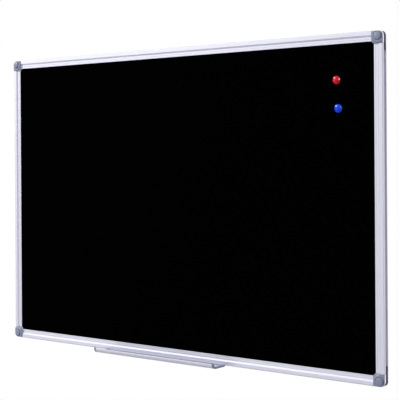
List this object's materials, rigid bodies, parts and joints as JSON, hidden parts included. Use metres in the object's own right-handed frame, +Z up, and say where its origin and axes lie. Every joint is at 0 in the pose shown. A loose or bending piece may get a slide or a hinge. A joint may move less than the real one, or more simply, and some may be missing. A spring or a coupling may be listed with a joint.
{
  "type": "magnetic chalkboard",
  "caption": "Wall-hung magnetic chalkboard: black steel writing sheet in an aluminium frame with plastic corners, a sliding chalk tray and button magnets.",
  "frame": {"origin": "on the rear face of the top rail, at the middle of the board's width and of the rail's face", "axes": "+X to the viewer's right along the top rail, +Z up, the front faces -Y and the wall is the plane Y = 0"},
  "size_m": [0.9, 0.049, 0.6016],
  "materials": {
    "chalk_enamel": "matt black chalk enamel on steel",
    "fibreboard": "raw fibreboard",
    "backing_metal": "mill finish sheet",
    "anodised_aluminium": "satin silver anodised extrusion",
    "silver_elbow": "silver lacquered moulding",
    "dark_key": "matt moulding",
    "grey_plastic": "satin moulding",
    "zinc_screw": "bright zinc plate",
    "red_gloss": "glossy moulding",
    "blue_gloss": "glossy moulding",
    "ferrite": "sintered"
  },
  "bodies": {
    "board": {"writing_sheet": "chalk_enamel", "panel_core": "fibreboard", "backing_sheet": "backing_metal", "rail_top": "anodised_aluminium", "rail_bottom": "anodised_aluminium", "stile_left": "anodised_aluminium", "stile_right": "anodised_aluminium", "corner_elbow_tl": "silver_elbow", "corner_elbow_tr": "silver_elbow", "corner_elbow_bl": "silver_elbow", "corner_elbow_br": "silver_elbow", "corner_key_tl": "dark_key", "corner_key_tr": "dark_key", "corner_key_bl": "dark_key", "corner_key_br": "dark_key", "corner_cap_tl": "grey_plastic", "corner_cap_tr": "grey_plastic", "corner_cap_bl": "grey_plastic", "corner_cap_br": "grey_plastic", "rail_screw_tl": "zinc_screw", "rail_screw_tr": "zinc_screw", "rail_screw_bl": "zinc_screw", "rail_screw_br": "zinc_screw", "stile_screw_tl": "zinc_screw", "stile_screw_tr": "zinc_screw", "stile_screw_bl": "zinc_screw", "stile_screw_br": "zinc_screw"},
    "tray": {"tray_channel": "anodised_aluminium", "tray_end_cap_left": "grey_plastic", "tray_end_cap_right": "grey_plastic"},
    "cover_tl": {"screw_cover_tl": "grey_plastic"},
    "cover_tr": {"screw_cover_tr": "grey_plastic"},
    "cover_bl": {"screw_cover_bl": "grey_plastic"},
    "cover_br": {"screw_cover_br": "grey_plastic"},
    "red_magnet": {"magnet_red_cap": "red_gloss", "magnet_red_disc": "ferrite"},
    "blue_magnet": {"magnet_blue_cap": "blue_gloss", "magnet_blue_disc": "ferrite"}
  },
  "joints": [
    {"name": "tray_slide", "type": "slide", "parent": "board", "child": "tray", "axis": [1, 0, 0], "range_m": [-0.238, 0.302]},
    {"name": "cover_tl_pull", "type": "slide", "parent": "board", "child": "cover_tl", "axis": [0, -1, 0], "range_m": [0, 0.012]},
    {"name": "cover_tr_pull", "type": "slide", "parent": "board", "child": "cover_tr", "axis": [0, -1, 0], "range_m": [0, 0.012]},
    {"name": "cover_bl_pull", "type": "slide", "parent": "board", "child": "cover_bl", "axis": [0, -1, 0], "range_m": [0, 0.012]},
    {"name": "cover_br_pull", "type": "slide", "parent": "board", "child": "cover_br", "axis": [0, -1, 0], "range_m": [0, 0.012]},
    {"name": "red_magnet_pull", "type": "slide", "parent": "board", "child": "red_magnet", "axis": [0, -1, 0], "range_m": [0, 0.03]},
    {"name": "blue_magnet_pull", "type": "slide", "parent": "board", "child": "blue_magnet", "axis": [0, -1, 0], "range_m": [0, 0.03]}
  ]
}
